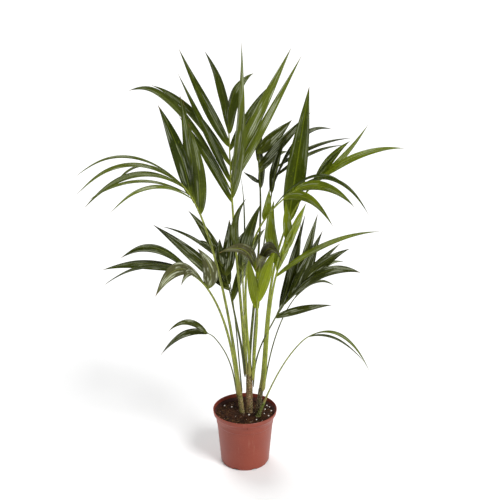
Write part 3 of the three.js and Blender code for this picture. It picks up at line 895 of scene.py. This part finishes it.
def make_pot():
    """One moulding, turned from its outline and notched at the foot, with soil stain and painted shade
    inside.
    """
    inside = [(r - POT_WALL, z) for r, z in reversed(OUTLINE[2:-2])]
    mouth = [(POT_RIM - POT_WALL, POT_HEIGHT)]
    floor = [(outer_radius(FOOT_BEVEL_HEIGHT) - POT_WALL, POT_FLOOR), (POT_INNER_RING, POT_FLOOR)]
    profile = rounded([(POT_INNER_RING, 0), *OUTLINE, *mouth, *inside, *floor], POT_CORNER)
    top = max(range(len(profile)), key=lambda i: profile[i][1] - 0.01 * i)
    # The inside below the rim is darkened, partly as soil stain and partly as painted shade.
    stain_and_shade = np.repeat([ease((i - top - 5) / 3) for i in range(len(profile))], POT_SIDES)
    skin = Skin()
    skin.loft(revolve(profile, POT_SIDES), [0.5] * len(profile), [0.0] * POT_SIDES, stain_and_shade)
    pot = skin.build("pot_body", [pot_material()], 40)
    tool = bpy.data.objects.new("drain_blocks", drain_blocks())
    bpy.context.scene.collection.objects.link(tool)
    notches = pot.modifiers.new("drains", "BOOLEAN")
    notches.operation = "DIFFERENCE"
    notches.object = tool
    notches.solver = "EXACT"
    graph = bpy.context.evaluated_depsgraph_get()
    mesh = bpy.data.meshes.new_from_object(pot.evaluated_get(graph))
    mesh.name = "grow_pot_skin"
    bpy.data.objects.remove(pot)
    bpy.data.objects.remove(tool)
    stand(finished(mesh, "grow_pot_skin", 40), "terracotta_plastic", "grow_pot")


# ---- Soil and grains ----


def soil_radius(z):
    """The soil's radius at a height, with its clearance to the pot."""
    return outer_radius(z) - POT_WALL - CLEARANCE


SOIL_REACH = soil_radius(SOIL_TOP)


def soil_height(r):
    """The height of the smooth soil mound at a radius."""
    return SOIL_TOP - SOIL_MOUND * (r / SOIL_REACH) ** 2


def ground(x, y):
    """The height of the rough soil surface."""
    rough = sum(height * bumpy((x, y, 0.0), width, seed) for height, width, seed in SOIL_ROUGHNESS)
    inner = ease((SOIL_REACH - math.hypot(x, y)) / SOIL_EDGE)
    return soil_height(math.hypot(x, y)) + rough * inner - SOIL_EDGE_DROP * (1 - inner)


def clear_of_stems(x, y, margin):
    for stem in STEMS.values():
        if math.hypot(x - stem["from"][0], y - stem["from"][1]) < stem["radius"][0] + margin:
            return False
    return True


def make_soil():
    """The soil's mound with crumbs and root fibres lying on it, as one mesh."""
    base = POT_FLOOR + CLEARANCE
    edge = SOIL_TOP - SOIL_MOUND
    heights = [base, SOIL_FOOT] + [z for _, z in OUTLINE if SOIL_FOOT < z < edge]
    profile = [(SOIL_INNER_RING, base)] + [(soil_radius(max(z, FOOT_BEVEL_HEIGHT)), z) for z in heights]
    rings = revolve(profile, SOIL_SIDES)
    for i in range(SOIL_RINGS + 1):
        ring = revolve([(mix(SOIL_REACH, SOIL_INNER_RING, i / SOIL_RINGS), 0)], SOIL_SIDES)[0]
        ring[:, 2] = [ground(x, y) for x, y, _ in ring]
        rings.append(ring)
    skin = Skin()
    skin.loft(rings, [0.5] * len(rings), [0.0] * SOIL_SIDES, 0.0)
    chance = random.Random(11)
    for i in range(CRUMBS):
        add_crumb(skin, chance, i)
    for _ in range(FIBRES):
        add_fibre(skin, chance)
    stand(skin.build("potting_soil_skin", [soil_material()], 50), "soil", "potting_soil")


def somewhere(chance, reach):
    """A random place on the soil, within a share of its radius."""
    r = SOIL_REACH * math.sqrt(chance.random()) * reach
    a = chance.random() * 2 * math.pi
    return r * math.cos(a), r * math.sin(a)


def add_crumb(skin, chance, i):
    """A crumb of soil clear of the stems: every 24th is pale, and every 7th is long."""
    x, y = somewhere(chance, 0.975)
    if not clear_of_stems(x, y, 1.0):
        return
    size = chance.choice(CRUMB_SIZES) * (0.8 + 0.4 * chance.random())
    pale = i % 24 == 0
    size = PALE_CRUMB if pale else size
    radii = (size * (1.7 if i % 7 == 0 else 1.1), size, size * 0.75)
    tone = 1.0 if pale else 0.8 * chance.random() ** 2
    skin.lump((x, y, ground(x, y) + 0.25 * size), radii, i * 0.37, tone)


def add_fibre(skin, chance):
    """A thin root fibre lying on the soil."""
    x, y = somewhere(chance, 0.85)
    heading = chance.random() * 2 * math.pi
    up = np.array([0.0, 0.0, 1.0])
    angles = 2 * math.pi / FIBRE_SIDES * np.arange(FIBRE_SIDES)
    rings = []
    for k in range(FIBRE_STEPS + 1):
        heading += (chance.random() - 0.5) * 0.7
        x += math.cos(heading) * FIBRE_STEP
        y += math.sin(heading) * FIBRE_STEP
        if math.hypot(x, y) > SOIL_REACH - 2:
            break
        thick = FIBRE_THICK * (1 - 0.6 * k / FIBRE_STEPS)
        side = np.array([-math.sin(heading), math.cos(heading), 0.0])
        centre = np.array([x, y, ground(x, y) + 0.5])
        rings.append([centre + thick * (side * math.cos(a) + up * math.sin(a)) for a in angles])
    if len(rings) > 2:
        skin.loft(rings, [0.5] * len(rings), [0.0] * FIBRE_SIDES, 0.55)


def make_grains():
    material = grain_material()
    for i, (x, y, size) in enumerate(GRAINS):
        skin = Skin()
        radius = GRAIN_RADIUS * size
        centre = (x, y, soil_height(math.hypot(x, y)) + CLEARANCE + radius * 0.8)
        skin.lump(centre, (radius * 1.15, radius, radius * 0.85), 3.3 + 1.9 * i, 1.0, fine=True)
        name = "soil_grain_%d" % (i + 1)
        stand(skin.build(name + "_skin", [material], 40), "grain", name)


# ---- Trunks ----


def scars_of(height, chance):
    """The ring scars of a trunk, as (height, depth, phase of its waver)."""
    scars = []
    z = 2.0
    while z < height - 3:
        scars.append((z, 0.7 + 0.6 * chance.random(), chance.random() * WHOLE_TURN))
        z += SCAR_SPACING * (0.7 + 0.6 * chance.random())
    return scars


def scar_at(scars, angle, height):
    """How deep the scars are at a place on the trunk, and how far the sheath edges above them stand out."""
    depth = 0.0
    lip = 0.0
    for z, deep, phase in scars:
        d = height - z - SCAR_WAVER * math.sin(2 * angle + phase)
        depth = max(depth, deep * math.exp(-((d / SCAR_HALF_WIDTH) ** 2)))
        lip = max(lip, SCAR_LIP * deep * math.exp(-(((d + SCAR_LIP_ABOVE) / SCAR_LIP_HALF_WIDTH) ** 2)))
    return depth, lip


def make_stem(name, stem):
    """A trunk with uneven ring scars and old sheath edges, flared at the soil and rounded at its top."""
    seed = 3.1 * len(name) + stem["from"][0]
    start, end = place(stem["from"]), place(stem["to"])
    height = stem["to"][2]
    scars = scars_of(height, random.Random(name))
    angles = np.linspace(0, 2 * math.pi, STEM_SIDES, endpoint=False)
    count = int((height + STEM_DEPTH) / STEM_STEP)
    rings, shares, depths = [], [], []
    for i in range(count + 1):
        h = mix(-STEM_DEPTH, height, i / count)
        centre = mix(start, end, h / height)
        radius = mix(*stem["radius"], max(h, 0) / height)
        flare = FLARE * math.exp(-max(h, 0) / FLARE_HEIGHT)
        crown = 1 - CROWN_NARROWING * ease((h - height + CROWN_HEIGHT) / CROWN_HEIGHT)
        ring = []
        for a in angles:
            out = np.array([math.cos(a), math.sin(a), 0.0])
            depth, lip = scar_at(scars, a, h + SCAR_TILT * math.sin(a + 0.7 * seed))
            rough = BARK_ROUGHNESS * bumpy((out[0] * 7, out[1] * 7, h), 3.2, seed)
            ring.append(centre + out * ((radius + flare + rough + lip * 0.8 - depth * 0.7) * crown))
            depths.append(min(depth, 1.0))
        rings.append(ring)
        shares.append(max(h, 0) / height)
    skin = Skin()
    skin.loft(rings, shares, [0.0] * STEM_SIDES, np.array(depths))
    materials = [TRUNKS[stem["look"]]]
    if name == SHEATHED_STEM:
        add_dry_sheath(skin, stem)
        materials.append(dry_material())
    stand(skin.build(name + "_stem_skin", materials, 50), stem["look"], name + "_stem")


def add_dry_sheath(skin, stem):
    """A dried, pointed sheath clasping the right side of the trunk's top."""
    base = place(stem["to"])
    last = DRY_SHEATH_COLUMNS - 1
    rings, shares = [], []
    for i in range(DRY_SHEATH_STEPS + 1):
        t = i / DRY_SHEATH_STEPS
        z = mix(DRY_SHEATH_FROM, DRY_SHEATH_TO, t)
        half = mix(DRY_SHEATH_HALF, DRY_SHEATH_TIP_HALF, ease(t)) * (0.35 + 0.65 * ease(t * 4))
        reach = stem["radius"][1] + mix(0.5, 2.6, math.sin(t * math.pi * 0.6))
        outer, inner = [], []
        for k in range(DRY_SHEATH_COLUMNS):
            a = mix(-half, half, k / last) + 5
            lift = np.array([0, 0, z + 1.6 * bumpy((a / 12, z / 9, 0), 1.0, 4.4)])
            outer.append(base + compass(a) * (reach + 0.5) + lift)
            inner.append(base + compass(a) * (reach - 0.2) + lift)
        rings.append(outer + inner[::-1])
        shares.append(t)
    skin.loft(rings, shares, [0.0] * (2 * DRY_SHEATH_COLUMNS), 0.3, look=1)


# ---- Fronds ----

# How light each leaflet is, from 0 to about 1, in the order of its frond, where 2 is a brown-olive hood. The
# leaflets of the other fronds take random tones.
# Tones of 1 and over on the tall and fountain fronds partly paint the sheen of leaflets that catch the light.
TONES = {
    "centre_frond_tall": (0.25, 0.35, 0.25, 0.4, 0.25, 0.35, 1.0, 0.7, 1.15, 1.1, 0.3, 0.4),
    "left_frond_fountain": (1.15, 1.1, 0.5, 1.1, 1.15, 0.6, 0.1, 0.3, 0.2, 0.4),
    "left_frond_low": (0.3, 0.2, 0.2, 2, 2, 2),
    "centre_frond_lime": (2, 2, 2, 0.8, 0.5),
    "right_frond_bright": (0.5, 1.0, 0.9, 0.8, 1.0),
    "right_frond_tall": (0.2, 0.5, 0.6, 0.1, 0.3),
    "centre_frond_arching": (0.4, 0.4, 0.1, 0.1, 0.6),
}


def foot_of(frond):
    """Where a frond leaves its stem, the stem's axis, and how far the stalk follows it."""
    stem = STEMS[frond["stem"]]
    low, high = place(stem["from"]), place(stem["to"])
    axis = unit(high - low)
    top = stem["to"][2]
    if frond["foot"] == "top":
        return mix(low, high, (top + CLEARANCE) / top), axis, 0
    direction, height = frond["foot"]
    reach = mix(*stem["radius"], height / top) + 2 * CLEARANCE + frond["radius"][0]
    return mix(low, high, height / top) + compass(direction) * reach, axis, top - height


def curves_of(frond):
    """The petiole's and the rachis's curve, which meet at the node with one heading."""
    start, axis, hug = foot_of(frond)
    node, end = place(frond["node"]), place(frond["end"])
    petiole_length = np.linalg.norm(node - start)
    rachis_length = np.linalg.norm(end - node)
    heading = unit(unit(node - start) + unit(end - node))
    lower = start + axis * (hug + petiole_length / 4)
    upper = node - heading * petiole_length / 3
    bend = node + heading * rachis_length / 2
    return cubic(start, lower, upper, node), quadratic(node, bend, end)


def clasped(frond, offset, travelled, tangent):
    """A point of the stalk's outline, made wider, thinner and closer to the trunk near the stalk's foot."""
    grip = max(0.0, 1 - travelled / SHEATH) ** 1.6
    if frond["foot"] == "top":
        crown = STEMS[frond["stem"]]["radius"][1] / frond["radius"][0] * 0.96
        return offset * mix(1, max(crown, 1), grip)
    out = compass(frond["foot"][0])
    out = unit(out - tangent * np.dot(out, tangent))
    closed = mix(0.45, 1.0, ease(travelled / 9))
    radial = np.dot(offset, out)
    side = (offset - out * radial) * (1 + SHEATH_WIDER * grip) * closed
    shift = -SHEATH_THINNER * grip * frond["radius"][0]
    return side + out * (radial * (1 - SHEATH_THINNER * grip) * closed + shift)


def add_stalk(skin, frond, seed):
    """The petiole and rachis: round below, channelled on the upper side, with a clasping foot."""
    petiole, rachis = curves_of(frond)
    foot_r, node_r, end_r = frond["radius"]
    stations = []
    for i in range(PETIOLE_STEPS + 1):
        t = i / PETIOLE_STEPS
        stations.append((*petiole(t), mix(foot_r, node_r, t)))
    for i in range(1, RACHIS_STEPS + 1):
        t = i / RACHIS_STEPS
        stations.append((*rachis(t), mix(node_r, end_r, t)))
    side = np.array([1.0, 0.0, 0.0])
    up = np.array([0.0, 0.0, 1.0])
    rings, shares = [], []
    travelled = 0.0
    before = stations[0][0]
    for centre, tangent, radius in stations:
        travelled += np.linalg.norm(centre - before)
        before = centre
        side = unit(side - tangent * np.dot(side, tangent))
        front = np.cross(tangent, side)
        top = up - tangent * tangent[2]
        channel = math.atan2(np.dot(top, front), np.dot(top, side))
        dent = CHANNEL_DEPTH * ease((travelled - SHEATH) / 60) * ease((np.linalg.norm(top) - 0.1) / 0.2)
        knots = 1 + 0.035 * bumpy(centre, 22, seed)
        ring = []
        for k in range(STALK_SIDES):
            angle = 2 * math.pi * k / STALK_SIDES
            gap = (angle - channel + math.pi) % (2 * math.pi) - math.pi
            r = radius * knots * (1 - dent * math.exp(-((gap / CHANNEL_HALF_ANGLE) ** 2)))
            offset = side * math.cos(angle) * r + front * math.sin(angle) * r * STALK_FLATTEN
            ring.append(centre + clasped(frond, offset, travelled, tangent))
        rings.append(ring)
        shares.append(travelled)
    shares = np.array(shares) / travelled
    around = [math.sin(2 * math.pi * k / STALK_SIDES) for k in range(STALK_SIDES)]
    skin.loft(rings, shares, around, 0.5, look=1)


def blade_outline(s, arched):
    """The share of a blade's full width at a share of its length; an arched blade is widest further out."""
    swell = BLADE_SWELL_ARCHED if arched else BLADE_SWELL
    return math.sin(math.pi * s**swell) + BLADE_FOOT_SHARE * (1 - s) ** 4 if s < 1 else 0.0


def blade_thickness(near):
    """The blade's thickness from its midrib, at 0, to its edge, at 1."""
    if near < MIDRIB_SHARE:
        return mix(MIDRIB_THICK, BLADE_THICK, ease(near / MIDRIB_SHARE))
    return mix(BLADE_THICK, EDGE_THICK, near)


def add_blade(skin, frond, leaflet, tone, chance):
    """A pleated, slightly waved blade folded along its midrib."""
    _, rachis = curves_of(frond)
    root, along = rachis(leaflet["along"])
    tip = place(leaflet["tip"])
    aim = mix(root, tip, 0.5) + np.array(leaflet["bow"], float)
    midrib = quadratic(root, aim, tip)
    across = rotated(along, midrib(0)[1], leaflet["turn"])
    width = leaflet["width"]
    twist = chance.uniform(-MOST_TWIST, MOST_TWIST)
    waves = chance.uniform(1.2, 2.4)
    phase = chance.uniform(0, WHOLE_TURN)
    arched = leaflet["bow"][2] >= ARCHED_BOW
    droop = chance.uniform(0.0, 0.02) * np.linalg.norm(tip - root) if arched else 0.0
    offsets = np.linspace(-1, 1, 2 * BLADE_HALF + 1)
    rings, shares = [], []
    for i in range(BLADE_STEPS + 1):
        s = i / BLADE_STEPS
        centre, heading = midrib(s)
        centre = centre - np.array([0, 0, droop * ease((s - 0.7) / 0.3)])
        across = unit(across - heading * np.dot(across, heading))
        turned = rotated(across, heading, twist * s * s)
        face = np.cross(heading, turned)
        outline = blade_outline(s, arched)
        half = max(width * outline, BLADE_TIP) / 2
        upper, lower = [], []
        for u in offsets:
            near = abs(u)
            thick = min(blade_thickness(near), half) * mix(1.6, 1.0, ease(s / 0.08))
            fold = BLADE_FOLD * width * (1 - near**1.25) - CURL * width * near**3
            pleat = PLEAT * math.sin(near * PLEAT_TURNS + 0.6)
            wave = math.sin(waves * WHOLE_TURN * s + phase + (1.3 if u > 0 else 0))
            lift = outline * (fold + pleat + RIPPLE * width * near * near * wave)
            at = centre + turned * (half * u)
            upper.append(at + face * (lift + thick / 2))
            lower.append(at + face * (lift - thick / 2))
        rings.append(upper + lower[::-1])
        shares.append(s)
    skin.loft(rings, shares, [*offsets, *offsets[::-1]], tone)


def make_frond(frond, index):
    """A frond's stalk and blades, as one mesh."""
    look = LEAF_LOOKS[frond["look"]]
    chance = random.Random(frond["name"])
    skin = Skin()
    add_stalk(skin, frond, 1.7 * index)
    plain = [chance.uniform(0.1, 0.7) for _ in frond["leaflets"]]
    for leaflet, tone in zip(frond["leaflets"], TONES.get(frond["name"], plain)):
        add_blade(skin, frond, leaflet, tone, chance)
    materials = [LEAVES[frond["look"]], STALKS[look["stalk"]]]
    stand(skin.build(frond["name"] + "_skin", materials, 55), look["slot"], frond["name"])


make_pot()
make_soil()
make_grains()
for stem_name, stem_spec in STEMS.items():
    make_stem(stem_name, stem_spec)
for frond_index, frond_spec in enumerate(FRONDS):
    make_frond(frond_spec, frond_index)

# ---- Floor and light ----

FLOOR_REACH = 60
floor_mesh = bpy.data.meshes.new("floor")
floor_corners = [(x * FLOOR_REACH, y * FLOOR_REACH, 0) for x, y in ((-1, -1), (1, -1), (1, 1), (-1, 1))]
floor_mesh.from_pydata(floor_corners, [], [(0, 1, 2, 3)])
floor = bpy.data.objects.new("floor", floor_mesh)
bpy.context.scene.collection.objects.link(floor)
white = Shader("floor")
floor_mesh.materials.append(white.finish(white.principled((0.94, 0.94, 0.94, 1), 0.9, None, 0.1)))

world = bpy.data.worlds.new("studio")
world.use_nodes = True
world.node_tree.nodes["Background"].inputs["Color"].default_value = (1, 1, 1, 1)
world.node_tree.nodes["Background"].inputs["Strength"].default_value = 0.32
bpy.context.scene.world = world


def sun(name, strength, angle, direction):
    """A sun lamp: a larger angle gives softer shadows."""
    light = bpy.data.lights.new(name, "SUN")
    light.energy = strength
    light.angle = math.radians(angle)
    lamp = bpy.data.objects.new(name, light)
    lamp.rotation_euler = Vector(direction).to_track_quat("-Z", "Y").to_euler()
    bpy.context.scene.collection.objects.link(lamp)


sun("key", 2.3, 22, (-0.6, 0.6, -1.0))
sun("back", 1.6, 45, (0.25, -0.6, -0.9))
bpy.context.scene.view_settings.view_transform = "Standard"
